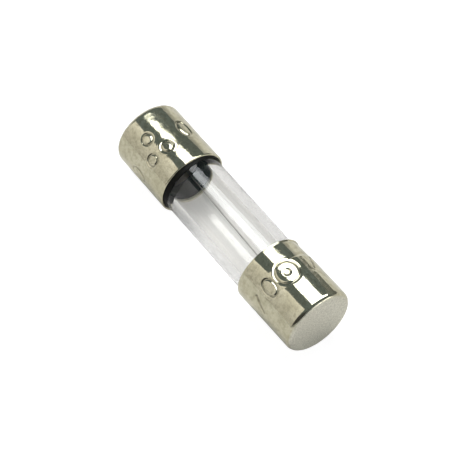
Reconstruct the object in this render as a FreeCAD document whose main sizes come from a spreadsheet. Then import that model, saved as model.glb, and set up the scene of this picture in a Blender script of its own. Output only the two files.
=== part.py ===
import FreeCAD, Part

import math
import os
import re

import Sketcher

# A 5 x 20 mm glass cartridge fuse, as a parametric document.
#
# The fuse is a clear glass tube with a deep-drawn metal cap over each end. A thin wire, the fuse
# element, runs through the bore, and each of its ends is held in the solder at the bottom of a cap.
# A ring of cement fills the gap between each cap's bell mouth and the glass. Nothing in it moves.
#
# Row frame: millimetres, +X along the fuse towards the front cap, +Z up, origin at the fuse's centre.
#
# Every size is a cell of the spreadsheet, and every piece is bound to those cells. A piece is drawn
# in a frame of its own, with its axis on X, and its Placement puts it in the row frame. Caps, solder
# and cement are drawn with the cap's mouth at X = 0, and those of the rear end are then turned half a
# turn about Z.

DIMENSIONS = [
    ("overall_length", 20.0, "end face to end face"),
    ("cap_diameter", 5.2, "outside diameter of a cap"),
    ("cap_length", 5.6, "mouth of a cap to its end face"),
    ("cap_wall", 0.2, "thickness of a cap's skirt"),
    ("cap_end_wall", 0.25, "thickness of a cap's flat end"),
    ("cap_corner", 0.42, "outside radius between skirt and end face"),
    ("cap_inner_corner", 0.22, "inside radius between skirt and end"),
    ("cap_lip", 0.1, "radius of the mouth's outside edge"),
    ("bell_depth", 0.35, "length of the mouth's flare"),
    ("bell_flare", 0.08, "how far the mouth flares, on its radius"),
    ("tube_diameter", 4.68, "outside diameter of the glass"),
    ("tube_bore", 3.32, "inside diameter of the glass"),
    ("tube_edge", 0.18, "radius of the fire-polished edges"),
    ("solder_bed", 0.18, "solder between a cap's end and the glass"),
    ("solder_film", 0.7, "how far solder creeps up outside the glass"),
    ("solder_rise", 0.75, "how far solder climbs the wall of the bore"),
    ("solder_middle", 0.4, "height of the solder at the middle of the bore"),
    ("cement_recess", 0.05, "mouth of a cap down to the cement"),
    ("cement_bead", 0.4, "how far the rear cement stands out of the mouth, along the glass"),
    ("cement_end", 1.6, "mouth of a cap to the far end of the cement"),
    ("wire_diameter", 0.1, "diameter of the fuse element"),
    ("wire_gap", 0.3, "end of the wire to the inside of a cap's end"),
    ("wire_bow", 0.05, "how far the wire bows from straight"),
    ("wire_skew", 1.5, "angle between the wire and the fuse's axis"),
    ("wire_turn", 22.0, "turn about X of the plane that the wire lies in"),
    ("wire_offset", 0.17, "fuse's centre to the middle of the wire, without its bow"),
    ("stamp_depth", 0.045, "depth of the stamped marks"),
    ("stamp_count", 3, "how often each mark repeats around a cap"),
    ("stroke", 0.13, "width of a stamped line"),
    ("front_stamp", 2.35, "mouth of the front cap to the middle of its marks"),
    ("rear_stamp", 2.8, "mouth of the rear cap to the middle of its marks"),
    ("oval_length", 1.5, "stamped oval, along the fuse"),
    ("oval_width", 1.0, "stamped oval, around the fuse"),
    ("target_diameter", 1.9, "stamped ring with a dot in it"),
    ("dot_diameter", 0.5, "dot in the middle of that ring"),
    ("ring_diameter", 0.95, "stamped ring"),
    ("ring_rows", 1.45, "between the two rows of rings"),
    ("bar_length", 1.4, "stamped bar"),
    ("bar_lean", 32.0, "angle between a stamped bar and the fuse's axis"),
    ("target_turn", 6.0, "turn about X of the front cap's first ring with a dot"),
    ("front_oval_turn", 41.0, "turn about X of the front cap's first oval"),
    ("bar_turn", 74.0, "turn about X of the front cap's first bar"),
    ("ring_turn", -30.0, "turn about X of the rear cap's first ring near its end"),
    ("ring_step", 15.5, "turn from that ring to its neighbours near the mouth"),
    ("rear_oval_turn", 31.0, "turn about X of the rear cap's first oval"),
]
ALIASES = [alias for alias, _, _ in DIMENSIONS]

doc = FreeCAD.newDocument("CartridgeFuse")
sheet = doc.addObject("Spreadsheet::Sheet", "Dimensions")
for row, (alias, number, meaning) in enumerate(DIMENSIONS, start=1):
    sheet.set(f"A{row}", alias)
    sheet.set(f"B{row}", str(number))
    sheet.set(f"C{row}", meaning)
    sheet.setAlias(f"B{row}", alias)
doc.recompute()

# Lengths that more than one piece is built on, in the cap's frame.
CAP_RADIUS = "cap_diameter / 2"
CAP_INSIDE = "( cap_diameter / 2 - cap_wall )"
CAP_FLOOR = "( cap_length - cap_end_wall )"
TUBE_END = "( cap_length - cap_end_wall - solder_bed )"
TUBE_LENGTH = "( overall_length - 2 * cap_end_wall - 2 * solder_bed )"
WIRE_LENGTH = "( overall_length - 2 * cap_end_wall - 2 * wire_gap )"


def cells(expression):
    """The expression with each alias written as a cell of the sheet."""
    return re.sub("[a-z_]+", lambda w: f"Dimensions.{w[0]}" if w[0] in ALIASES else w[0], expression)


def value(expression):
    return float(sheet.evalExpression(cells(expression)))


# Bodies and sketches -------------------------------------------------------------------------------


def new_body(label):
    body = doc.addObject("PartDesign::Body", label)
    body.Label = label
    return body


def origin_feature(body, role):
    return next(feature for feature in body.Origin.OriginFeatures if feature.Role == role)


def new_sketch(body, name, role="XY_Plane"):
    sketch = body.newObject("Sketcher::SketchObject", name)
    sketch.AttachmentSupport = [(origin_feature(body, role), "")]
    sketch.MapMode = "FlatFace"
    return sketch


def bind(sketch, name, kind, references, expression):
    """Adds one dimension to a sketch, and ties it to the sheet."""
    size = value(expression)
    if kind == "Angle":
        size = math.radians(size)
    index = sketch.addConstraint(Sketcher.Constraint(kind, *references, size))
    sketch.renameConstraint(index, name)
    sketch.setExpression(f"Constraints.{name}", cells(expression))


def bind_point(sketch, name, element, end, along, across):
    """Ties a point to a place. A coordinate of "0" puts it on that axis of the sketch."""
    axis_along, axis_across = -1, -2
    if along == "0":
        sketch.addConstraint(Sketcher.Constraint("PointOnObject", element, end, axis_across))
    else:
        bind(sketch, f"{name}_along", "DistanceX", (-1, 1, element, end), along)
    if across == "0":
        sketch.addConstraint(Sketcher.Constraint("PointOnObject", element, end, axis_along))
    else:
        bind(sketch, f"{name}_across", "DistanceY", (-1, 1, element, end), across)


def polygon(sketch, points):
    """Draws a closed outline of straight lines through the points."""
    count = len(points)
    for i in range(count):
        sketch.addGeometry(Part.LineSegment(points[i], points[(i + 1) % count]), False)
    for i in range(count):
        sketch.addConstraint(Sketcher.Constraint("Coincident", i, 2, (i + 1) % count, 1))


def outline(body, name, corners):
    """A sketch of a closed outline. Each corner is a pair of expressions, along X and from the axis."""
    sketch = new_sketch(body, name)
    polygon(sketch, [FreeCAD.Vector(value(along), value(radius), 0) for along, radius in corners])
    for i, (along, radius) in enumerate(corners):
        bind_point(sketch, f"corner{i}", i, 1, along, radius)
    return sketch


def turn_outline(body, kind, name, corners):
    """Turns an outline about the body's X axis, as a Revolution or a Groove."""
    sketch = outline(body, f"{name}Outline", corners)
    turned = body.newObject(f"PartDesign::{kind}", name)
    turned.Profile = sketch
    turned.ReferenceAxis = (sketch, ["H_Axis"])
    turned.Angle = 360
    doc.recompute()
    return turned


def round_edges(body, base, name, places, radius):
    """Fillets the base's circular edges at the places, pairs of expressions (along X, radius)."""
    wanted = [(value(along), value(size)) for along, size in places]
    edges = []
    for i, edge in enumerate(base.Shape.Edges, start=1):
        curve = edge.Curve
        if not isinstance(curve, Part.Circle):
            continue
        if any(math.isclose(curve.Center.x, x) and math.isclose(curve.Radius, r) for x, r in wanted):
            edges.append(f"Edge{i}")
    if len(edges) != len(places):
        raise RuntimeError(f"{name}: {len(edges)} edges were found for {len(places)} places")
    fillet = body.newObject("PartDesign::Fillet", name)
    fillet.Base = (base, edges)
    fillet.setExpression("Radius", cells(radius))
    doc.recompute()
    return fillet


def place(piece, along, rear=False, across="0", up="0", turn="0"):
    """Puts a piece in the row frame. Turn is about X, and comes before a rear piece's half turn."""
    half_turn = 180 if rear else 0
    sign = -1 if rear else 1
    base = f"vector( {sign} * ( {along} ) ; {across} ; {up} )"
    rotation = f"rotation( {half_turn} ; 0 ; {turn} )"
    piece.setExpression("Placement", cells(f"placement( {base} ; {rotation} )"))


def cut(label, base, tools):
    """What is left of base where the tools aren't, as one object of that label."""
    taken = doc.addObject("Part::Compound", f"{label}_taken")
    taken.Links = tools
    left = doc.addObject("Part::Cut", label)
    left.Label = label
    left.Base = base
    left.Tool = taken
    return left


def draw_quarters(sketch, diameter):
    """A circle about the origin, in four arcs, so a wire drawn along it has four long narrow sides."""
    circle = Part.Circle(FreeCAD.Vector(0, 0, 0), FreeCAD.Vector(0, 0, 1), value(diameter) / 2)
    quarter = math.pi / 2
    for i in range(4):
        axis = -1 if i % 2 == 0 else -2
        sketch.addGeometry(Part.ArcOfCircle(circle, i * quarter, (i + 1) * quarter), False)
        sketch.addConstraint(Sketcher.Constraint("Coincident", i, 3, -1, 1))
        sketch.addConstraint(Sketcher.Constraint("PointOnObject", i, 1, axis))
    for i in range(3):
        sketch.addConstraint(Sketcher.Constraint("Coincident", i, 2, i + 1, 1))
    sketch.addConstraint(Sketcher.Constraint("PointOnObject", 3, 2, -1))
    bind(sketch, "size", "Diameter", (0,), diameter)


# Stamped marks -------------------------------------------------------------------------------------


def draw_circles(sketch, along, diameters):
    """Circles about one centre, from the outermost in."""
    for i, diameter in enumerate(diameters):
        centre = FreeCAD.Vector(value(along), 0, 0)
        circle = Part.Circle(centre, FreeCAD.Vector(0, 0, 1), value(diameter) / 2)
        index = sketch.addGeometry(circle, False)
        bind_point(sketch, f"centre{i}", index, 3, along, "0")
        bind(sketch, f"size{i}", "Diameter", (index,), diameter)


def draw_target(sketch):
    draw_circles(sketch, "front_stamp", ["target_diameter", "target_diameter - 2 * stroke", "dot_diameter"])


def draw_end_ring(sketch):
    draw_circles(sketch, "rear_stamp + ring_rows / 2", ["ring_diameter", "ring_diameter - 2 * stroke"])


def draw_mouth_ring(sketch):
    draw_circles(sketch, "rear_stamp - ring_rows / 2", ["ring_diameter", "ring_diameter - 2 * stroke"])


def draw_oval(sketch, along):
    """Two ellipses about one centre, a stroke apart."""
    centre = FreeCAD.Vector(value(along), 0, 0)
    for i, inset in enumerate(("0", "2 * stroke")):
        length, width = f"oval_length - {inset}", f"oval_width - {inset}"
        tip = centre + FreeCAD.Vector(value(length) / 2, 0, 0)
        side = centre + FreeCAD.Vector(0, value(width) / 2, 0)
        ellipse = sketch.addGeometry(Part.Ellipse(tip, side, centre), False)
        sketch.exposeInternalGeometry(ellipse)
        long_axis, short_axis = ellipse + 1, ellipse + 2
        bind_point(sketch, f"centre{i}", ellipse, 3, along, "0")
        sketch.addConstraint(Sketcher.Constraint("Horizontal", long_axis))
        bind(sketch, f"length{i}", "Distance", (long_axis,), length)
        bind(sketch, f"width{i}", "Distance", (short_axis,), width)


def draw_front_oval(sketch):
    draw_oval(sketch, "front_stamp")


def draw_rear_oval(sketch):
    draw_oval(sketch, "rear_stamp")


def draw_bar(sketch):
    """A leaning bar with square ends."""
    lean = math.radians(-value("bar_lean"))
    middle = FreeCAD.Vector(value("front_stamp"), 0, 0)
    half_length = FreeCAD.Vector(math.cos(lean), math.sin(lean), 0) * value("bar_length / 2")
    half_width = FreeCAD.Vector(-math.sin(lean), math.cos(lean), 0) * value("stroke / 2")
    signs = [(-1, -1), (1, -1), (1, 1), (-1, 1)]
    polygon(sketch, [middle + half_length * end + half_width * side for end, side in signs])
    sketch.addConstraint(Sketcher.Constraint("Parallel", 0, 2))
    sketch.addConstraint(Sketcher.Constraint("Perpendicular", 0, 1))
    sketch.addConstraint(Sketcher.Constraint("Perpendicular", 2, 3))
    bind(sketch, "length", "Distance", (0,), "bar_length")
    bind(sketch, "width", "Distance", (1,), "stroke")
    bind(sketch, "lean", "Angle", (-1, 1, 0, 1), "-1 * bar_lean")
    centre = sketch.addGeometry(Part.Point(middle), True)
    sketch.addConstraint(Sketcher.Constraint("Symmetric", 0, 1, 2, 1, centre, 1))
    bind_point(sketch, "middle", centre, 1, "front_stamp", "0")


# Each mark's name, its turn about X in the cap's own frame, and what draws it.
FRONT_MARKS = [
    ("Target", "target_turn", draw_target),
    ("Oval", "front_oval_turn", draw_front_oval),
    ("Bar", "bar_turn", draw_bar),
]
REAR_MARKS = [
    ("EndRing", "ring_turn", draw_end_ring),
    ("MouthRing", "ring_turn - ring_step", draw_mouth_ring),
    ("NextMouthRing", "ring_turn + ring_step", draw_mouth_ring),
    ("Oval", "rear_oval_turn", draw_rear_oval),
]


def make_stamps(label, marks):
    """The metal that a cap's stamps push aside: each mark's outline, from the stamp's depth outwards."""
    body = new_body(label)
    body.AllowCompound = True
    floor = f"( {CAP_RADIUS} * 0.8 )"
    volume = 0
    for name, turn, draw in marks:
        sketch = new_sketch(body, f"{name}Mark")
        angle = f"( ( {turn} ) * 1 deg )"
        base = f"vector( 0 ; -1 * {floor} * sin{angle} ; {floor} * cos{angle} )"
        sketch.setExpression("AttachmentOffset", cells(f"placement( {base} ; rotation( 0 ; 0 ; {turn} ) )"))
        draw(sketch)
        doc.recompute()
        pad = body.newObject("PartDesign::Pad", name)
        pad.Profile = sketch
        pad.setExpression("Length", cells(CAP_RADIUS))
        doc.recompute()
        one = pad.Shape.Volume - volume
        around = body.newObject("PartDesign::PolarPattern", f"{name}Row")
        around.Originals = [pad]
        around.Axis = (origin_feature(body, "X_Axis"), [""])
        around.Angle = 360
        around.setExpression("Occurrences", cells("stamp_count"))
        body.Tip = around
        doc.recompute()
        volume += one * value("stamp_count")
        if not math.isclose(around.Shape.Volume, volume, rel_tol=1e-4):
            raise RuntimeError(f"{label}: {name} leaves {around.Shape.Volume} mm3, and should leave {volume}")
    depth = f"{CAP_RADIUS} - stamp_depth"
    turn_outline(body, "Groove", "Core", [
        ("0", "0"),
        ("cap_length", "0"),
        ("cap_length", depth),
        ("0", depth),
    ])
    return body


# Pieces --------------------------------------------------------------------------------------------


def make_cap(label, rear, marks):
    """A deep-drawn cap: a skirt with a bell mouth and stamped marks, and a flat end."""
    body = new_body(f"{label}_drawn")
    skin = turn_outline(body, "Revolution", "Skin", [
        ("0", f"{CAP_INSIDE} + bell_flare"),
        ("0", CAP_RADIUS),
        ("cap_length", CAP_RADIUS),
        ("cap_length", "0"),
        (CAP_FLOOR, "0"),
        (CAP_FLOOR, CAP_INSIDE),
        ("bell_depth", CAP_INSIDE),
    ])
    skin = round_edges(body, skin, "OuterCorner", [("cap_length", CAP_RADIUS)], "cap_corner")
    skin = round_edges(body, skin, "InnerCorner", [(CAP_FLOOR, CAP_INSIDE)], "cap_inner_corner")
    round_edges(body, skin, "Lip", [("0", CAP_RADIUS)], "cap_lip")
    stamps = make_stamps(f"{label}_stamps", marks)
    cap = cut(label, body, [stamps])
    place(cap, "overall_length / 2 - cap_length", rear)
    doc.recompute()
    print(f"{label}: the stamps remove {body.Shape.Volume - cap.Shape.Volume:.4f} mm3")
    return cap


def make_tube():
    """The glass tube, with its four edges fire-polished round."""
    body = new_body("glass_tube")
    corners = [
        ("0", "tube_bore / 2"),
        ("0", "tube_diameter / 2"),
        (TUBE_LENGTH, "tube_diameter / 2"),
        (TUBE_LENGTH, "tube_bore / 2"),
    ]
    wall = turn_outline(body, "Revolution", "Wall", corners)
    round_edges(body, wall, "FirePolish", corners, "tube_edge")
    place(body, f"{TUBE_LENGTH} / -2")
    return body


def make_wire():
    """The fuse element, one thin wire with a slight bow, that lies a little askew in the bore."""
    body = new_body("fuse_wire")
    start, end = FreeCAD.Vector(0, 0, 0), FreeCAD.Vector(value(WIRE_LENGTH), 0, 0)
    middle = FreeCAD.Vector(value(WIRE_LENGTH) / 2, -value("wire_bow"), 0)
    route = new_sketch(body, "Route")
    route.addGeometry(Part.Arc(start, middle, end), False)
    bind_point(route, "start", 0, 1, "0", "0")
    bind_point(route, "end", 0, 2, WIRE_LENGTH, "0")
    bind(route, "bend", "Radius", (0,), f"{WIRE_LENGTH} ^ 2 / ( 8 * wire_bow ) + wire_bow / 2")
    section = new_sketch(body, "Section", "YZ_Plane")
    draw_quarters(section, "wire_diameter")
    doc.recompute()
    drawn = body.newObject("PartDesign::AdditivePipe", "Drawn")
    drawn.Profile = section
    drawn.Spine = route
    doc.recompute()
    expected = math.pi * value("wire_diameter / 2") ** 2 * route.Shape.Length
    if not math.isclose(drawn.Shape.Volume, expected, rel_tol=0.01):
        raise RuntimeError(f"fuse_wire: {drawn.Shape.Volume} mm3, and should be {expected} mm3")
    # The skew swings the wire about its middle, in a plane that is turned about X.
    half_length = f"{WIRE_LENGTH} / 2"
    rise = f"( wire_offset + {half_length} * sin( wire_skew * 1 deg ) )"
    base = (f"vector( -1 * {half_length} * cos( wire_skew * 1 deg ) ; "
            f"{rise} * cos( wire_turn * 1 deg ) ; {rise} * sin( wire_turn * 1 deg ) )")
    rotation = ("rotation( vector( 1 ; 0 ; 0 ) ; wire_turn ) * "
                "rotation( vector( 0 ; 0 ; 1 ) ; -1 * wire_skew )")
    body.setExpression("Placement", cells(f"placement( {base} ; {rotation} )"))
    return body


def make_solder(label, rear, neighbours):
    """The solder in a cap's end: a bed under the glass, a film around it, and a dished plug in it."""
    pool = new_body(f"{label}_pool")
    turn_outline(pool, "Revolution", "Pool", [
        (f"{TUBE_END} - solder_middle", "0"),
        (CAP_FLOOR, "0"),
        (CAP_FLOOR, CAP_INSIDE),
        (f"{TUBE_END} - solder_film", CAP_INSIDE),
        (f"{TUBE_END} - solder_film", "tube_diameter / 2 - tube_edge"),
        (f"{TUBE_END} - solder_rise", "tube_bore / 2"),
    ])
    place(pool, "overall_length / 2 - cap_length", rear)
    return cut(label, pool, neighbours)


def make_cement(label, rear, neighbours):
    """The ring of cement between the glass and the cap. The rear one stands out along the glass."""
    ring = new_body(f"{label}_ring")
    outside = f"{CAP_INSIDE} + bell_flare"
    turn_outline(ring, "Revolution", "Ring", [
        ("-1 * cement_bead" if rear else "cement_recess", "tube_diameter / 2"),
        ("cement_recess", outside),
        ("cement_end", outside),
        ("cement_end", "tube_diameter / 2"),
    ])
    place(ring, "overall_length / 2 - cap_length", rear)
    return cut(label, ring, neighbours)


tube = make_tube()
wire = make_wire()
pieces = [tube, wire]
for end, rear, marks in (("front", False, FRONT_MARKS), ("rear", True, REAR_MARKS)):
    cap = make_cap(f"{end}_cap", rear, marks)
    solder = make_solder(f"{end}_solder", rear, [tube, cap, wire])
    cement = make_cement(f"{end}_cement", rear, [cap])
    pieces += [cap, solder, cement]
doc.recompute()

for thing in doc.Objects:
    if "Invalid" in thing.State or "Error" in thing.State:
        raise RuntimeError(f"{thing.Label} failed: {thing.State}")
for piece in pieces:
    if piece.Shape.isNull() or not piece.Shape.isValid():
        raise RuntimeError(f"{piece.Label} has no valid shape")
    if len(piece.Shape.Solids) != 1:
        raise RuntimeError(f"{piece.Label} has {len(piece.Shape.Solids)} solids, and should have 1")

os.makedirs("parts", exist_ok=True)
for piece in pieces:
    piece.Shape.exportStep(f"parts/{piece.Label}.step")
    box = piece.Shape.BoundBox
    size = f"{box.XLength:.3f} x {box.YLength:.3f} x {box.ZLength:.3f} mm"
    print(f"{piece.Label}: {size}, {piece.Shape.Volume:.4f} mm3")
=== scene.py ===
# The looks of the cartridge fuse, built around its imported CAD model, and the studio it lies in.
#
# Metres, in the CAD's frame: +X along the fuse towards the front cap, +Z up, origin at its centre.
# Each piece is turned about the X axis or swept along a line, to the sizes of the CAD solid it stands
# for, plus what that leaves out: the soft edges of the stamped marks, uneven plate, glass, cement and
# solder, and the finish of each material.

import math

import bpy
from mathutils import Matrix, Vector, noise


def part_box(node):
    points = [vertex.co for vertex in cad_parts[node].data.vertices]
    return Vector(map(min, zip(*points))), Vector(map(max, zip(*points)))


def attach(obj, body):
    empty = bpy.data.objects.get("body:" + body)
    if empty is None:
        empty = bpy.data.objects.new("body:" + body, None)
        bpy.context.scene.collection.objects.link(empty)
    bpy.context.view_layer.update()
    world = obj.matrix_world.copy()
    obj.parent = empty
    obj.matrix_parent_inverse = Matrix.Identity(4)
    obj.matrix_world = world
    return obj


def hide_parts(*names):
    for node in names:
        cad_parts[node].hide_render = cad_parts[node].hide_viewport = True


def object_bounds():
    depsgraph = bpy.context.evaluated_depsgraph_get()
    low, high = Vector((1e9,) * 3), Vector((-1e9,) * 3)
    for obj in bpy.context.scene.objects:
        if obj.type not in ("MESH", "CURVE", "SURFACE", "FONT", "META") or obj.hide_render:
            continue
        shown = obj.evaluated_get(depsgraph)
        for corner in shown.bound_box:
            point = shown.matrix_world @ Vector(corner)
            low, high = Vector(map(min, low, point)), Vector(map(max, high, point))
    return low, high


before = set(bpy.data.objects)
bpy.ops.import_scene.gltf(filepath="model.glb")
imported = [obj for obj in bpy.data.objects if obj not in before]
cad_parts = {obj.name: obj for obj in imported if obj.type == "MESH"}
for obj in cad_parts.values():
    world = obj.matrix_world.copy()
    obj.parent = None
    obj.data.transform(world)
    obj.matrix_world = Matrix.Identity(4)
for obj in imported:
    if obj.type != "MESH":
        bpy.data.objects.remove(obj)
cad_low, cad_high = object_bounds()

MM = 0.001
FULL_TURN = 2 * math.pi

# Sizes that come from the frame.
HALF_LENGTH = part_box("front_cap")[1].x
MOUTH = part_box("front_cap")[0].x
CAP_LENGTH = HALF_LENGTH - MOUTH
CAP_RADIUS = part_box("front_cap")[1].z
TUBE_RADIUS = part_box("glass_tube")[1].z
TUBE_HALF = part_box("glass_tube")[1].x
CEMENT_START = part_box("front_cement")[0].x - MOUTH
CEMENT_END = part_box("front_cement")[1].x - MOUTH
SOLDER_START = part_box("front_solder")[0].x - MOUTH
SOLDER_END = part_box("front_solder")[1].x - MOUTH


def surface_radii(node):
    """How far each point of a CAD node lies from the X axis."""
    return [math.hypot(v.co.y, v.co.z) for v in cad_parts[node].data.vertices]


BORE_RADIUS = min(surface_radii("glass_tube"))
BELL_INSIDE = max(surface_radii("front_cement"))

# Sizes of the cap's drawing, as in the CAD.
WALL = 0.2 * MM
CORNER = 0.42 * MM
INNER_CORNER = 0.22 * MM
LIP = 0.1 * MM
BELL_DEPTH = 0.35 * MM
TUBE_EDGE = 0.18 * MM
CAP_INSIDE = CAP_RADIUS - WALL
SOLDER_BED = 0.18 * MM   # solder between a cap's end and the glass
SOLDER_DISH = 0.4 * MM
SOLDER_STEP = 0.05 * MM  # the solder's film starts this much nearer the end than its pool
GRIP = 0.004 * MM        # how far cement and solder reach into the glass, so no air film shows
CAP_FLOOR = TUBE_HALF - MOUTH + SOLDER_BED
WIRE_RADIUS = 0.05 * MM
WIRE_BOW = 0.05 * MM
WIRE_KINK = 0.012 * MM
WIRE_KINKS = 9           # kinks along the wire
WIRE_TURN = math.radians(22)    # turn about X of the wire's bow

# Stamped marks, as in the CAD: along the cap from its mouth, and turned about X.
STROKE = 0.13 * MM
FRONT_STAMP = 2.35 * MM
REAR_STAMP = 2.8 * MM
RING_ROWS = 1.45 * MM
TARGET_RADIUS = 0.95 * MM
DOT_RADIUS = 0.25 * MM
RING_RADIUS = 0.475 * MM
OVAL_HALF_LENGTH = 0.75 * MM
OVAL_HALF_WIDTH = 0.5 * MM
BAR_HALF_LENGTH = 0.7 * MM
BAR_LEAN = math.radians(32)
REPEAT = FULL_TURN / 3    # each mark repeats three times around its cap

# How the marks' metal is pushed in.
MARK_DEPTH = 0.05 * MM
MARK_EDGE = 0.13 * MM    # width of a stroke's soft side
MARK_RIM = 0.008 * MM
MARK_DENT = 0.014 * MM
MARK_DENT_REACH = 0.3 * MM

# The uneven plate: each wave's height, its size and where in the noise it is taken.
PLATE_WAVES = [(0.004 * MM, 1.5 * MM, 0), (0.005 * MM, 0.42 * MM, 7)]
WAVE_SQUEEZE = 0.35      # below 1, waves are longer along the cap than round it
SOLDER_WAVE = (0.05 * MM, 0.9 * MM, 3)
GLASS_WAVE = 0.002 * MM
GLASS_SQUEEZE = 1 / 9    # as WAVE_SQUEEZE, for the tube

# Spacing of the points along the drawn outlines.
MOUTH_STEP = 0.07 * MM
MARK_STEP = 0.03 * MM
SKIRT_STEP = 0.1 * MM
FACE_STEP = 0.12 * MM
FLOOR_STEP = 0.4 * MM
INSIDE_STEP = 0.6 * MM
BELL_STEP = 0.09 * MM
GLASS_STEP = 0.15 * MM
BORE_STEP = 0.3 * MM
CAP_POINTS = 540         # round a cap
GLASS_POINTS = 256       # round the tube and the cement
SOLDER_POINTS = 192

# The front cap is a little narrower from its mouth to a shoulder, over part of its way round.
SHOULDER = 1.62 * MM
SHOULDER_STEP = 0.034 * MM
SHOULDER_TAPER = 0.045 * MM
SHOULDER_EASE = 0.07 * MM
SHOULDER_STARTS = (-115, -75)    # turns about X in degrees, between which it fades in
SHOULDER_STOPS = (15, 35)        # and between which it fades out

# The front cap sits a little crooked: where its end's middle lies, for each unit along X.
LEAN = Vector((1, 0.0165, 0.007))

# How far the rear cement stands out of the cap, in mm, by the turn about X in degrees.
BEAD = [(-110, 0.38), (-60, 0.46), (-20, 0.38), (15, 0.27), (40, 0.16), (62, 0.02),
        (80, -0.17), (157, -0.17), (232, -0.15), (250, 0.38)]
BEAD_WAVE = 0.05 * MM     # unevenness of that length
BEAD_RAGGED = 0.012 * MM  # finer unevenness of both cements' open faces
BEAD_BULGE = 0.03 * MM


# Mesh building --------------------------------------------------------------------------------------


def new_object(name, vertices, faces, materials, face_materials):
    """A smooth mesh object from its vertices and faces, with a material index for each face."""
    mesh = bpy.data.meshes.new(name)
    mesh.from_pydata(vertices, [], faces)
    for material in materials:
        mesh.materials.append(material)
    mesh.polygons.foreach_set("use_smooth", [True] * len(faces))
    mesh.polygons.foreach_set("material_index", face_materials)
    mesh.update()
    piece = bpy.data.objects.new(name, mesh)
    bpy.context.scene.collection.objects.link(piece)
    return piece


def spin(along, turn, radius, rear):
    """The point at a turn about X, in a cap's own frame, put in the row frame."""
    x, y, z = along, -radius * math.sin(turn), radius * math.cos(turn)
    return (-x, -y, z) if rear else (x, y, z)


def band(here, after, count):
    """The faces between two rings of vertices. A ring of one vertex makes triangles."""
    faces = []
    for i in range(count):
        j = (i + 1) % count
        corners = [here[i % len(here)], here[j % len(here)], after[j % len(after)], after[i % len(after)]]
        faces.append(list(dict.fromkeys(corners)))
    return faces


def turned(name, outline, count, materials, rear=False, shift=None):
    """Turns a closed outline about X.

    The outline is a list of (along, radius, outward slope, material index), and a point with a
    radius of zero becomes one vertex. shift(along, turn, radius, slope) gives a point's new place.
    """
    vertices, faces, face_materials, rings = [], [], [], []
    for along, radius, slope, _ in outline:
        pole = radius == 0
        ring = []
        for i in range(1 if pole else count):
            turn = FULL_TURN * i / count
            place = shift(along, turn, radius, slope) if shift else (along, radius)
            ring.append(len(vertices))
            vertices.append(spin(place[0], turn, place[1], rear))
        rings.append(ring)
    for k, (_, _, _, material) in enumerate(outline):
        here, after = rings[k], rings[(k + 1) % len(rings)]
        if len(here) > 1 or len(after) > 1:
            faces += band(here, after, count)
            face_materials += [material] * count
    return new_object(name, vertices, faces, materials, face_materials)


def steps(start, end, size):
    """Evenly spaced numbers from start to just before end, no more than size apart."""
    count = max(1, math.ceil(abs(end - start) / size - 1e-6))
    return [start + (end - start) * i / count for i in range(count)]


def arc(along, radius, size, first, last, count):
    """Points round a corner of that size. Angles are in degrees, from +X towards larger radius."""
    points = []
    for i in range(count):
        angle = math.radians(first + (last - first) * i / count)
        slope = (math.cos(angle), math.sin(angle))
        points.append((along + size * slope[0], radius + size * slope[1], slope))
    return points


def with_material(points, index):
    """The points of an outline, each with a material index."""
    return [(along, radius, slope, index) for along, radius, slope in points]


def smooth(low, high, number):
    """0 below low, 1 above high, and an even ease between them."""
    share = min(1.0, max(0.0, (number - low) / (high - low)))
    return share * share * (3 - 2 * share)


# The caps' surface ----------------------------------------------------------------------------------


def ring_distance(u, v, radius):
    """Distance from a circle's line. u and v run along the cap and round it, from the mark's middle."""
    return abs(math.hypot(u, v) - radius)


def target_distance(u, v):
    """Distance from the line of a ring with a dot in it."""
    dot = max(0.0, math.hypot(u, v) - DOT_RADIUS + STROKE / 2)
    return min(dot, ring_distance(u, v, TARGET_RADIUS - STROKE / 2))


def small_ring_distance(u, v):
    """Distance from a small ring's line."""
    return ring_distance(u, v, RING_RADIUS - STROKE / 2)


def oval_distance(u, v):
    """Distance from an ellipse's line, near enough for a thin stroke."""
    a, b = OVAL_HALF_LENGTH - STROKE / 2, OVAL_HALF_WIDTH - STROKE / 2
    share = math.hypot(u / a, v / b)
    near_middle = share < 0.2
    if near_middle:
        return b
    return abs(share - 1) * share / math.hypot(u / a ** 2, v / b ** 2)


def bar_distance(u, v):
    """Distance from a leaning bar's line."""
    length = u * math.cos(BAR_LEAN) - v * math.sin(BAR_LEAN)
    across = u * math.sin(BAR_LEAN) + v * math.cos(BAR_LEAN)
    beyond = max(0.0, abs(length) - BAR_HALF_LENGTH + STROKE / 2)
    return math.hypot(beyond, across)


# Each mark's place along its cap, the first one's turn in degrees, its reach, and the distance from
# its line.
FRONT_MARKS = [
    (FRONT_STAMP, 6, TARGET_RADIUS, target_distance),
    (FRONT_STAMP, 41, OVAL_HALF_LENGTH, oval_distance),
    (FRONT_STAMP, 74, BAR_HALF_LENGTH, bar_distance),
]
REAR_MARKS = [
    (REAR_STAMP + RING_ROWS / 2, -30, RING_RADIUS, small_ring_distance),
    (REAR_STAMP - RING_ROWS / 2, -45.5, RING_RADIUS, small_ring_distance),
    (REAR_STAMP - RING_ROWS / 2, -14.5, RING_RADIUS, small_ring_distance),
    (REAR_STAMP, 31, OVAL_HALF_LENGTH, oval_distance),
]


def mark_height(distance):
    """Height of the metal at a distance from a stroke's line: pushed in, with a faint rim and dent."""
    side = STROKE / 2 + MARK_EDGE / 2
    stroke = -MARK_DEPTH * (1 - smooth(side - MARK_EDGE, side, distance))
    rim = MARK_RIM * math.exp(-((distance - side - MARK_EDGE / 2) / (MARK_EDGE / 2)) ** 2)
    dent = -MARK_DENT * math.exp(-(distance / MARK_DENT_REACH) ** 2)
    return stroke + rim + dent


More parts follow.
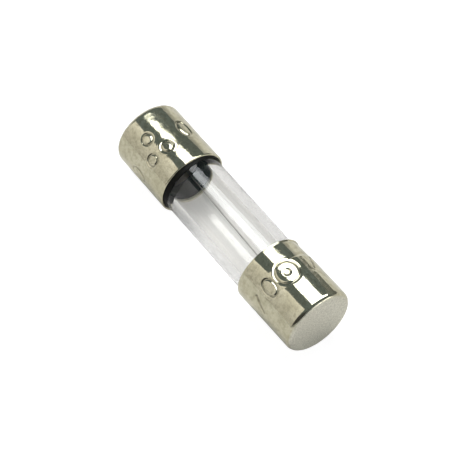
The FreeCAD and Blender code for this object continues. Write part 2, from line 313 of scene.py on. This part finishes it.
def marks_height(along, turn, marks):
    """Height that the marks give the skirt at a point."""
    height = 0.0
    for middle, first_turn, reach, distance in marks:
        u = along - middle
        if abs(u) > reach + 2 * MARK_DENT_REACH:
            continue
        off = (turn - math.radians(first_turn) + REPEAT / 2) % REPEAT - REPEAT / 2
        v = -off * CAP_RADIUS
        if abs(v) > reach + 2 * MARK_DENT_REACH:
            continue
        height += mark_height(distance(u, v))
    return height


def wave(along, turn, radius, rear, height, size, offset):
    """Smooth noise on a cap, up to that height either way, with waves of that size."""
    point = Vector(spin(along + MOUTH, turn, radius, rear)) / size
    point.x *= WAVE_SQUEEZE
    return height * noise.noise(point + Vector((offset, 0, 0)))


def shoulder_height(along, turn):
    """Height of the front cap's skirt before its shoulder, over the part of the turn that has one."""
    off = math.degrees(turn) % 360
    share = smooth(*SHOULDER_STARTS, off - 360) if off > 180 else 1 - smooth(*SHOULDER_STOPS, off)
    taper = SHOULDER_TAPER * (1 - along / SHOULDER) if along < SHOULDER else 0
    step = SHOULDER_STEP * (1 - smooth(SHOULDER - SHOULDER_EASE, SHOULDER + SHOULDER_EASE, along))
    return -share * (taper + step)


def cap_shift(rear):
    """The function that moves a cap's plain surface to its worn, stamped one."""
    marks = REAR_MARKS if rear else FRONT_MARKS

    def shift(along, turn, radius, slope):
        if slope is None:
            return along + MOUTH, radius
        height = sum(wave(along, turn, radius, rear, *plate_wave) for plate_wave in PLATE_WAVES)
        if slope == (0, 1):
            height += marks_height(along, turn, marks)
            height += 0 if rear else shoulder_height(along, turn)
        return along + MOUTH + height * slope[0], radius + height * slope[1]

    return shift


def cap_outside(marks):
    """Outline of a cap from its mouth to the middle of its end, finest where the marks are."""
    margin = 0.15 * MM
    fine_start = min(middle - reach for middle, _, reach, _ in marks) - margin
    fine_end = max(middle + reach for middle, _, reach, _ in marks) + margin
    skirt_end, face_radius = CAP_LENGTH - CORNER, CAP_RADIUS - CORNER
    skirt = steps(LIP, fine_start, MOUTH_STEP)
    skirt += steps(fine_start, fine_end, MARK_STEP)
    skirt += steps(fine_end, skirt_end, SKIRT_STEP)
    outside = arc(LIP, CAP_RADIUS - LIP, LIP, 180, 90, 5)
    outside += [(along, CAP_RADIUS, (0, 1)) for along in skirt]
    outside += arc(skirt_end, face_radius, CORNER, 90, 0, 12)
    outside += [(CAP_LENGTH, radius, (1, 0)) for radius in steps(face_radius, 0, FACE_STEP)]
    outside += [(CAP_LENGTH, 0, (1, 0))]
    return outside


def cap_inside():
    """Outline of a cap's inside, from the middle of its floor to the bell at its mouth."""
    corner_start, corner_radius = CAP_FLOOR - INNER_CORNER, CAP_INSIDE - INNER_CORNER
    corner = arc(corner_start, corner_radius, INNER_CORNER, 0, 90, 4)
    first_ring = 0.3 * MM
    inside = [(CAP_FLOOR, 0, None)]
    inside += [(CAP_FLOOR, radius, None) for radius in steps(first_ring, corner_radius, FLOOR_STEP)]
    inside += [(along, radius, None) for along, radius, _ in corner]
    inside += [(along, CAP_INSIDE, None) for along in steps(corner_start, BELL_DEPTH, INSIDE_STEP)]
    inside += [(along, CAP_INSIDE + (BELL_INSIDE - CAP_INSIDE) * (1 - along / BELL_DEPTH), None)
               for along in steps(BELL_DEPTH, 0, BELL_STEP)]
    return inside


def make_cap(name, rear, materials):
    """A drawn cap: bell mouth, stamped skirt, rounded corner and flat end. Material 1 is its inside."""
    marks = REAR_MARKS if rear else FRONT_MARKS
    outline = with_material(cap_outside(marks), 0) + with_material(cap_inside(), 1)
    cap = turned(name, outline, CAP_POINTS, materials, rear, cap_shift(rear))
    add_stroke_shade(cap, rear, marks)
    if not rear:
        lean(cap)
    return cap


def lean(cap):
    """Turns the front cap about the middle of its mouth, to where LEAN points."""
    middle = Matrix.Translation((MOUTH, 0, 0))
    turn = Vector((1, 0, 0)).rotation_difference(LEAN).to_matrix().to_4x4()
    cap.data.transform(middle @ turn @ middle.inverted())


def add_stroke_shade(cap, rear, marks):
    """Stores on each point of a cap how much painted shade darkens its colour: 1 at the bottom of a mark's
    stroke.
    """
    least_radius = CAP_INSIDE + 0.02 * MM    # nearer the axis, a point is on the inside
    least_depth = 0.02 * MM
    stroke_shade = []
    for vertex in cap.data.vertices:
        x, y, z = vertex.co
        along, turn = abs(x) - MOUTH, math.atan2(y if rear else -y, z)
        skirt = math.hypot(y, z) > least_radius and along < CAP_LENGTH - CORNER
        depth = -marks_height(along, turn, marks) if skirt else 0.0
        stroke_shade.append(smooth(least_depth, MARK_DEPTH, depth))
    cap.data.attributes.new("stroke_shade", "FLOAT", "POINT").data.foreach_set("value", stroke_shade)


# The other pieces -----------------------------------------------------------------------------------


def make_tube(materials):
    """The glass tube, with fire-polished ends and the slight waves of drawn glass."""
    edge_out, edge_in = TUBE_RADIUS - TUBE_EDGE, BORE_RADIUS + TUBE_EDGE
    body = TUBE_HALF - TUBE_EDGE
    outline = [(along, TUBE_RADIUS, (0, 1)) for along in steps(-body, body, GLASS_STEP)]
    outline += arc(body, edge_out, TUBE_EDGE, 90, 0, 8)
    outline += arc(body, edge_in, TUBE_EDGE, 0, -90, 8)
    outline += [(along, BORE_RADIUS, (0, -1)) for along in steps(body, -body, BORE_STEP)]
    outline += arc(-body, edge_in, TUBE_EDGE, 270, 180, 8)
    outline += arc(-body, edge_out, TUBE_EDGE, 180, 90, 8)

    def shift(along, turn, radius, slope):
        way = Vector((along * GLASS_SQUEEZE, radius * math.cos(turn), radius * math.sin(turn))) / MM
        height = GLASS_WAVE * noise.noise(way)
        return along + height * slope[0], radius + height * slope[1]

    return turned("glass_tube_drawn", with_material(outline, 0), GLASS_POINTS, materials, False, shift)


def wire_line():
    """The wire's two ends, measured on the CAD wire."""
    points = [v.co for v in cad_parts["fuse_wire"].data.vertices]
    reach = max(p.x for p in points)
    nearby = 0.6 * MM

    def middle_at(x):
        near = [p for p in points if abs(p.x - x) < nearby]
        return sum(near, Vector()) / len(near)

    start, end = middle_at(-reach), middle_at(reach)
    start.x, end.x = -reach, reach
    return start, end


def make_wire(materials):
    """The fuse element: a thin wire with a slight bow and the small kinks of handling."""
    start, end = wire_line()
    bow = Vector((0, -WIRE_BOW * math.cos(WIRE_TURN), -WIRE_BOW * math.sin(WIRE_TURN)))
    lengths, around = 160, 14
    vertices, rings = [], []
    for k in range(lengths + 1):
        share = k / lengths
        centre = start.lerp(end, share) + bow * 4 * share * (1 - share)
        way = share * WIRE_KINKS
        kink = Vector((0, noise.noise(Vector((way, 0, 3))), noise.noise(Vector((way, 5, 0)))))
        centre += kink * WIRE_KINK * math.sin(math.pi * share)
        rings.append(list(range(k * around, (k + 1) * around)))
        for i in range(around):
            turn = FULL_TURN * i / around
            vertices.append(centre + Vector((0, WIRE_RADIUS * math.sin(turn), WIRE_RADIUS * math.cos(turn))))
    faces = []
    for here, after in zip(rings, rings[1:]):
        faces += band(here, after, around)
    faces += [rings[0][::-1], rings[-1]]
    return new_object("fuse_wire_drawn", vertices, faces, materials, [0] * len(faces))


def bead_length(turn):
    """How far the rear cement stands out at a turn, eased between the places in BEAD."""
    degrees = (math.degrees(turn) - BEAD[0][0]) % 360 + BEAD[0][0]
    places = BEAD + [(BEAD[0][0] + 360, BEAD[0][1])]
    for (first, length), (last, next_length) in zip(places, places[1:]):
        if first <= degrees <= last:
            return (length + (next_length - length) * smooth(first, last, degrees)) * MM


def make_cement(name, rear, materials):
    """The ring of black cement. The rear one stands out along the glass as an uneven bead.

    Material 0 is its open face, whose points hold their share of the way in to the glass in place
    of a distance along the cap. Material 1 is what lies against the glass and the cap.
    """
    outer, inner = BELL_INSIDE - 0.01 * MM, TUBE_RADIUS - GRIP
    face = [(share, outer + (inner - outer) * share, (-1, 0)) for share in steps(0, 1, 0.1) + [1]]
    buried = [(along, inner, None) for along in steps(0.3 * MM, CEMENT_END, 0.2 * MM)]
    buried += [(CEMENT_END, inner, None), (CEMENT_END, CAP_INSIDE, None), (BELL_DEPTH, CAP_INSIDE, None)]

    def shift(along, turn, radius, slope):
        if slope is None:
            return along + MOUTH, radius
        share = along
        way = Vector((math.cos(turn), math.sin(turn), share / 3))
        length = bead_length(turn) + BEAD_WAVE * noise.noise(way * 3) if rear else 0.0
        start = CEMENT_START + max(0.0, -length)
        ragged = BEAD_RAGGED * noise.noise(way * 7)
        bulge = BEAD_BULGE * math.sin(math.pi * share) * smooth(0, 0.2 * MM, length)
        return start - max(0.0, length) * share ** 1.5 + ragged + MOUTH, radius + bulge

    outline = with_material(face, 0) + with_material(buried, 1)
    return turned(name, outline, GLASS_POINTS, materials, rear, shift)


def make_solder(name, rear, materials):
    """The solder in a cap's end: a dished pool in the bore, and a film around the glass."""
    glass_end, film_start = TUBE_HALF - MOUTH, SOLDER_START + SOLDER_STEP
    pool = [(0.0, glass_end - SOLDER_DISH)]
    for share in steps(0.1, 1, 0.1):
        climb = SOLDER_DISH + (glass_end - SOLDER_START - SOLDER_DISH) * share ** 4
        pool.append((share * BORE_RADIUS, glass_end - climb))
    outline = [(along, radius, (-1, 0)) for radius, along in pool]
    outline += [(SOLDER_START, BORE_RADIUS + GRIP, None)]
    outline += [(glass_end, BORE_RADIUS + GRIP, None), (glass_end, TUBE_RADIUS - GRIP, None)]
    outline += [(film_start, TUBE_RADIUS - GRIP, None), (film_start, CAP_INSIDE, None)]
    outline += [(SOLDER_END - INNER_CORNER, CAP_INSIDE, None), (SOLDER_END, CAP_INSIDE - INNER_CORNER, None)]
    outline += [(SOLDER_END, 0, None)]

    def shift(along, turn, radius, slope):
        if slope is None:
            return along + MOUTH, radius
        height = wave(along, turn, radius, rear, *SOLDER_WAVE)
        return along + MOUTH + height * slope[0], radius

    return turned(name, with_material(outline, 0), SOLDER_POINTS, materials, rear, shift)


# Materials ------------------------------------------------------------------------------------------


def new_material(name, constants):
    """A material with one Principled shader, and the shader's fixed settings."""
    material = bpy.data.materials.new(name)
    material.use_nodes = True
    shader = material.node_tree.nodes["Principled BSDF"]
    for socket, number in constants.items():
        shader.inputs[socket].default_value = number
    return material, shader


def add(material, kind, **inputs):
    """A node of that kind with some inputs set. A socket's name has _ for its spaces."""
    node = material.node_tree.nodes.new(kind)
    for name, number in inputs.items():
        node.inputs[name.replace("_", " ")].default_value = number
    return node


def join(material, output, node, name):
    """Links an output to a node's input of that name."""
    material.node_tree.links.new(output, node.inputs[name])


def object_place(material):
    """The place on the fuse, in metres in its own frame."""
    return add(material, "ShaderNodeTexCoord").outputs["Object"]


def noise_at(material, place, size, detail=3.0, stretch=None):
    """Noise with features of that size in metres, from 0 to 1. stretch scales the place first."""
    if stretch:
        mapping = add(material, "ShaderNodeMapping", Scale=stretch)
        join(material, place, mapping, "Vector")
        place = mapping.outputs["Vector"]
    texture = add(material, "ShaderNodeTexNoise", Scale=1 / size, Detail=detail)
    join(material, place, texture, "Vector")
    return texture.outputs["Fac"]


def ramp(material, share, stops):
    """A colour ramp between two stops. Each is (position, grey or colour)."""
    node = add(material, "ShaderNodeValToRGB")
    elements = node.color_ramp.elements
    for element, (position, colour) in zip(elements, stops):
        element.position = position
        grey = isinstance(colour, (int, float))
        element.color = (colour, colour, colour, 1) if grey else (*colour, 1)
    join(material, share, node, "Fac")
    return node.outputs["Color"]


def mix(material, share, first, second, kind="MIX"):
    """Two colours mixed. Each may be a colour or an output."""
    node = add(material, "ShaderNodeMix")
    node.data_type = "RGBA"
    node.blend_type = kind
    for value, name in ((first, "A"), (second, "B")):
        socket = next(s for s in node.inputs if s.name == name and s.type == "RGBA")
        if isinstance(value, tuple):
            socket.default_value = (*value, 1)
        else:
            material.node_tree.links.new(value, socket)
    factor = node.inputs[0]
    if isinstance(share, (int, float)):
        factor.default_value = share
    else:
        material.node_tree.links.new(share, factor)
    return next(s for s in node.outputs if s.type == "RGBA")


def bump(material, shader, height, distance, strength, under=None):
    """Bumps the shader's surface by a height output. distance is the height of 1, in metres."""
    node = add(material, "ShaderNodeBump", Strength=strength, Distance=distance)
    join(material, height, node, "Height")
    if under:
        join(material, under, node, "Normal")
    join(material, node.outputs["Normal"], shader, "Normal")
    return node.outputs["Normal"]


def end_share(material, place, start, end):
    """0 on the skirts and 1 on the flat ends, by the distance from the fuse's middle."""
    parts = add(material, "ShaderNodeSeparateXYZ")
    join(material, place, parts, "Vector")
    distance = add(material, "ShaderNodeMath")
    distance.operation = "ABSOLUTE"
    join(material, parts.outputs["X"], distance, 0)
    share = add(material, "ShaderNodeMapRange", From_Min=start, From_Max=end)
    join(material, distance.outputs["Value"], share, "Value")
    return share.outputs["Result"]


def cap_material():
    """Bright nickel plate: mottled and finely scratched on the skirt, with painted shade in the marks'
    strokes, matt on the flat end.
    """
    material, shader = new_material("cap_nickel", {"Metallic": 1.0})
    place = object_place(material)
    end = end_share(material, place, HALF_LENGTH - 0.16 * MM, HALF_LENGTH - 0.03 * MM)
    cloud = noise_at(material, place, 1.6 * MM, 4)
    mottle = noise_at(material, place, 0.35 * MM, 3)
    grain = noise_at(material, place, 0.11 * MM, 3)
    scratch = noise_at(material, place, 0.03 * MM, 1, (0.06, 1, 1))
    plate = ramp(material, cloud, [(0.35, (0.63, 0.595, 0.425)), (0.65, (0.73, 0.695, 0.52))])
    spots = mix(material, ramp(material, mottle, [(0.33, 0.9), (0.55, 0)]), plate, (0.52, 0.49, 0.345))
    # Painted shade: the bottoms of the marks' strokes are coloured darker, as if shaded.
    stroke_shade = add(material, "ShaderNodeAttribute")
    stroke_shade.attribute_name = "stroke_shade"
    strokes = ramp(material, stroke_shade.outputs["Fac"], [(0.2, 0), (1, 0.45)])
    spotted_and_shaded = mix(material, strokes, spots, (0.17, 0.155, 0.11))
    speckled = mix(material, 0.8, spotted_and_shaded, ramp(material, grain, [(0.3, 0.78), (0.7, 1.0)]), "MULTIPLY")
    matt = ramp(material, grain, [(0.3, (0.57, 0.55, 0.46)), (0.7, (0.80, 0.78, 0.67))])
    join(material, mix(material, end, speckled, matt), shader, "Base Color")
    skirt_rough = ramp(material, mottle, [(0.3, 0.15), (0.65, 0.05)])
    end_rough = ramp(material, grain, [(0.3, 0.5), (0.7, 0.38)])
    join(material, mix(material, end, skirt_rough, end_rough), shader, "Roughness")
    low = bump(material, shader, mottle, 0.007 * MM, 0.5)
    fine = bump(material, shader, scratch, 0.0006 * MM, 0.5, low)
    bump(material, shader, grain, 0.0012 * MM, 0.6, fine)
    return material


def inside_material():
    """The caps' unpolished inside."""
    material, shader = new_material("cap_inside", {"Metallic": 1.0})
    place = object_place(material)
    cloud = noise_at(material, place, 0.6 * MM, 4)
    colour = ramp(material, cloud, [(0.3, (0.46, 0.44, 0.34)), (0.7, (0.58, 0.55, 0.44))])
    join(material, colour, shader, "Base Color")
    join(material, ramp(material, cloud, [(0.3, 0.45), (0.7, 0.3)]), shader, "Roughness")
    bump(material, shader, noise_at(material, place, 0.08 * MM), 0.004 * MM, 0.5)
    return material


def glass_material():
    """Clear glass, with the faint long streaks of drawing and a few specks."""
    material, shader = new_material("clear_glass", {"Transmission Weight": 1.0, "IOR": 1.47})
    place = object_place(material)
    streak = noise_at(material, place, 0.12 * MM, 2, (0.03, 1, 1))
    speck = noise_at(material, place, 0.14 * MM, 1)
    tint = ramp(material, streak, [(0.3, (0.94, 0.935, 0.915)), (0.7, (0.99, 0.985, 0.97))])
    dusty = mix(material, ramp(material, speck, [(0.2, 1), (0.26, 0)]), tint, (0.80, 0.81, 0.80))
    join(material, dusty, shader, "Base Color")
    join(material, ramp(material, speck, [(0.2, 0.2), (0.3, 0.0)]), shader, "Roughness")
    bump(material, shader, streak, 0.0006 * MM, 0.4)
    return material


def cement_material(name, dark, gloss):
    """Black cement. Gloss is low where it lies against the glass, which wets it."""
    material, shader = new_material(name, {"Specular IOR Level": gloss})
    place = object_place(material)
    cloud = noise_at(material, place, 0.3 * MM, 4)
    light = tuple(2.5 * part for part in dark)
    join(material, ramp(material, cloud, [(0.3, dark), (0.7, light)]), shader, "Base Color")
    join(material, ramp(material, cloud, [(0.3, 0.6), (0.7, 0.4)]), shader, "Roughness")
    bump(material, shader, noise_at(material, place, 0.1 * MM), 0.01 * MM, 0.5)
    return material


def solder_material():
    """Tin solder that set dull, with frosty patches."""
    material, shader = new_material("tin_solder", {"Metallic": 1.0})
    place = object_place(material)
    frost = noise_at(material, place, 0.25 * MM, 5)
    colour = ramp(material, frost, [(0.3, (0.50, 0.50, 0.48)), (0.7, (0.66, 0.66, 0.65))])
    join(material, colour, shader, "Base Color")
    join(material, ramp(material, frost, [(0.35, 0.5), (0.65, 0.22)]), shader, "Roughness")
    bump(material, shader, frost, 0.01 * MM, 0.4)
    return material


def wire_material():
    """Tinned wire, dulled by handling."""
    material, shader = new_material("tinned_wire", {"Metallic": 1.0})
    place = object_place(material)
    cloud = noise_at(material, place, 0.2 * MM, 4)
    colour = ramp(material, cloud, [(0.3, (0.34, 0.33, 0.31)), (0.7, (0.50, 0.49, 0.46))])
    join(material, colour, shader, "Base Color")
    join(material, ramp(material, cloud, [(0.3, 0.45), (0.7, 0.25)]), shader, "Roughness")
    bump(material, shader, noise_at(material, place, 0.04 * MM), 0.002 * MM, 0.5)
    return material


# Studio ---------------------------------------------------------------------------------------------

SOFTBOX_HEIGHT = 0.5
CARD_AWAY = 0.35
CARD_HEIGHT = 0.69
SWEEP_START = 0.55       # radius at which the paper floor starts to curve up
SWEEP_RADIUS = 0.3       # radius of that curve

# Corners of the lights overhead, as parts of the softbox's height. The metal and the glass show the
# softbox, and its curved side ends the bright band on the rear cap. The rim light joins it towards the
# front, for the corner of the front cap. The key light, just above them, lights what isn't shiny.
SOFTBOX = [(-0.20, -0.02), (-0.55, -0.02), (-0.63, 0.05), (-0.662, 0.30), (-0.668, 0.42), (-0.668, 0.50),
           (-0.62, 0.86), (-0.20, 0.86)]
RIM = [(0.42, -0.02), (-0.20, -0.02), (-0.20, 1.40), (0.42, 1.40)]
KEY = [(-0.20, -0.02), (-0.64, -0.02), (-0.64, 0.86), (-0.20, 0.86)]
KEY_LIFT = 1.02

# What the lights give off, and what the metal shows where there is no light or card.
SOFTBOX_GLOW = (4.9, 5.1, 5.2)
KEY_GLOW = (12.3, 12.0, 11.7)
FILL_GLOW = (3.0, 3.0, 3.0)
CEILING_GLOW = (0.155, 0.185, 0.195, 1)


def glow(name, low, high, height, albedo):
    """A stage material that gives off light, going from one colour at the floor to another above it."""
    constants = {"Base Color": (albedo, albedo, albedo, 1), "Roughness": 1.0, "Specular IOR Level": 0.0}
    material, shader = new_material(name, {**constants, "Emission Strength": 1.0})
    parts = add(material, "ShaderNodeSeparateXYZ")
    join(material, object_place(material), parts, "Vector")
    share = add(material, "ShaderNodeMapRange", From_Min=cad_low.z, From_Max=cad_low.z + height)
    join(material, parts.outputs["Z"], share, "Value")
    colour = mix(material, share.outputs["Result"], low, high)
    join(material, colour, shader, "Emission Color")
    return material


def steady(name, colour):
    """A stage material that gives off the same light all over."""
    return glow(name, colour, colour, 1, 0)


def hide_from(piece, *rays):
    """Hides a piece from rays of those kinds."""
    for ray in rays:
        setattr(piece, f"visible_{ray}", False)


def panel(name, corners, material):
    """A flat light or card, unseen by the camera."""
    card = new_object(name, corners, [list(range(len(corners)))], [material], [0])
    hide_from(card, "camera")
    return card


def make_sweep(name, drop, material):
    """A round paper floor whose rim curves up, so that it also stands behind the fuse from the side."""
    level = cad_low.z - drop
    count = 96
    bend_steps, degrees_each = 10, 8
    outline = [(radius, level) for radius in (0.02, 0.06, 0.15, 0.3, 0.45, SWEEP_START)]
    for i in range(1, bend_steps + 1):
        angle = math.radians(i * degrees_each)
        outline.append((SWEEP_START + SWEEP_RADIUS * math.sin(angle),
                        level + SWEEP_RADIUS * (1 - math.cos(angle))))
    vertices = [(0, 0, level)]
    faces = [[0, 1 + i, 1 + (i + 1) % count] for i in range(count)]
    for radius, height in outline:
        for i in range(count):
            turn = FULL_TURN * i / count
            vertices.append((radius * math.cos(turn), radius * math.sin(turn), height))
    for k in range(len(outline) - 1):
        first = 1 + k * count
        for i in range(count):
            j = (i + 1) % count
            faces.append([first + i, first + count + i, first + count + j, first + j])
    sweep = new_object(name, vertices, faces, [material], [0] * len(faces))
    return sweep


def make_floor():
    """The pale paper that the camera sees, and under it the dimmer one that lights the fuse.

    The photograph's white is brighter than the paper that the metal and the glass show, so the
    first is seen only straight on, and the second only in the fuse.
    """
    paper = glow("floor_paper", (0.93, 0.93, 0.93), (0.75, 0.75, 0.75), 0.3, 0.25)
    seen = make_sweep("floor", 0, paper)
    hide_from(seen, "diffuse", "glossy", "transmission", "shadow")
    bounce = glow("floor_bounce", (0.24, 0.24, 0.24), (0, 0, 0), 0.18, 0.5)
    lit = make_sweep("floor_light", 0.02 * MM, bounce)
    hide_from(lit, "camera")


def overhead(corners, lift=1.0):
    """Corners given as parts of the softbox's height, put in place overhead."""
    return [Vector((x, y, 1)) * SOFTBOX_HEIGHT * lift for x, y in corners]


def make_lights():
    """The lights overhead. The key light only gives diffuse light, and the others never do."""
    softbox = panel("softbox_panel", overhead(SOFTBOX), steady("softbox", SOFTBOX_GLOW))
    hide_from(softbox, "diffuse", "shadow")
    rim = panel("rim_panel", overhead(RIM), steady("rim", SOFTBOX_GLOW))
    hide_from(rim, "diffuse", "shadow", "transmission")
    key = panel("key_panel", overhead(KEY, KEY_LIFT), steady("key", KEY_GLOW))
    hide_from(key, "glossy", "transmission")


def standing(start, end, bottom, top):
    """Corners of an upright card between two places on the floor."""
    return [(*start, bottom), (*end, bottom), (*end, top), (*start, top)]


def make_cards():
    """The cards round the fuse, whose reflections are the bands on its metal."""
    card = glow("card", (0.62, 0.61, 0.60), (1.16, 1.14, 1.12), CARD_HEIGHT, 0)
    panel("card_panel", standing((-0.8, -CARD_AWAY), (0.02, -CARD_AWAY), 0, CARD_HEIGHT), card)
    flag = glow("flag", (0.12, 0.13, 0.13), (0.2, 0.22, 0.22), 0.25, 0.05)
    panel("flag_panel", standing((-0.22, 0.45), (0.17, 0.47), -0.002, 0.25), flag)
    dark = glow("dark", (0.03, 0.03, 0.03), (0.05, 0.05, 0.05), 0.25, 0.03)
    panel("dark_panel", standing((0.34, -0.1), (0.02, -0.36), 0.03, 0.28), dark)


def make_fill():
    """A small light beyond the front end, facing the fuse."""
    towards = Vector((0.85, 0.45, 0.12)).normalized()
    side = towards.cross(Vector((0, 0, 1))).normalized()
    up = side.cross(towards)
    away, half_width, half_height = 0.45, 0.17, 0.045
    corners = [towards * away + side * half_width * a + up * half_height * b
               for a, b in ((-1, -1), (1, -1), (1, 1), (-1, 1))]
    panel("fill_panel", corners, steady("fill", FILL_GLOW))


def make_ceiling():
    """The dim grey that the metal shows between the lights and cards."""
    world = bpy.data.worlds.new("ceiling")
    world.use_nodes = True
    world.node_tree.nodes["Background"].inputs["Color"].default_value = CEILING_GLOW
    bpy.context.scene.world = world


def make_camera():
    """The photograph's view: from the front right, high up, with a long lens."""
    azimuth, elevation = math.radians(54.05), math.radians(54.75)
    distance, aside, below = 134.8 * MM, 0.047 * MM, 0.279 * MM
    back = Vector((math.sin(azimuth) * math.cos(elevation),
                   -math.cos(azimuth) * math.cos(elevation),
                   math.sin(elevation)))
    right = Vector((math.cos(azimuth), math.sin(azimuth), 0))
    up = back.cross(right)
    data = bpy.data.cameras.new("camera")
    data.lens = 155.2
    data.sensor_width = 36
    data.clip_start, data.clip_end = 0.01, 10
    camera = bpy.data.objects.new("camera", data)
    bpy.context.scene.collection.objects.link(camera)
    camera.location = back * distance - right * aside - up * below
    camera.rotation_mode = "QUATERNION"
    camera.rotation_quaternion = (-back).to_track_quat("-Z", "Y")
    bpy.context.scene.camera = camera
    bpy.context.scene.view_settings.view_transform = "Standard"


# The build ------------------------------------------------------------------------------------------


def settle(piece, node):
    """The piece stands for a CAD node, and rides with the fuse."""
    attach(piece, "root")
    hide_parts(node)


make_camera()
make_floor()
make_lights()
make_cards()
make_fill()
make_ceiling()

nickel, inside, glass = cap_material(), inside_material(), glass_material()
solder, tin = solder_material(), wire_material()
cement = [cement_material("black_cement", (0.003, 0.003, 0.002), 0.12),
          cement_material("black_cement_wetted", (0.003, 0.008, 0.004), 0.0)]
tube = make_tube([glass])
hide_from(tube, "shadow")
settle(tube, "glass_tube")
settle(make_wire([tin]), "fuse_wire")
for end, rear in (("front", False), ("rear", True)):
    settle(make_cap(f"{end}_cap_drawn", rear, [nickel, inside]), f"{end}_cap")
    settle(make_cement(f"{end}_cement_ring", rear, cement), f"{end}_cement")
    settle(make_solder(f"{end}_solder_pool", rear, [solder]), f"{end}_solder")
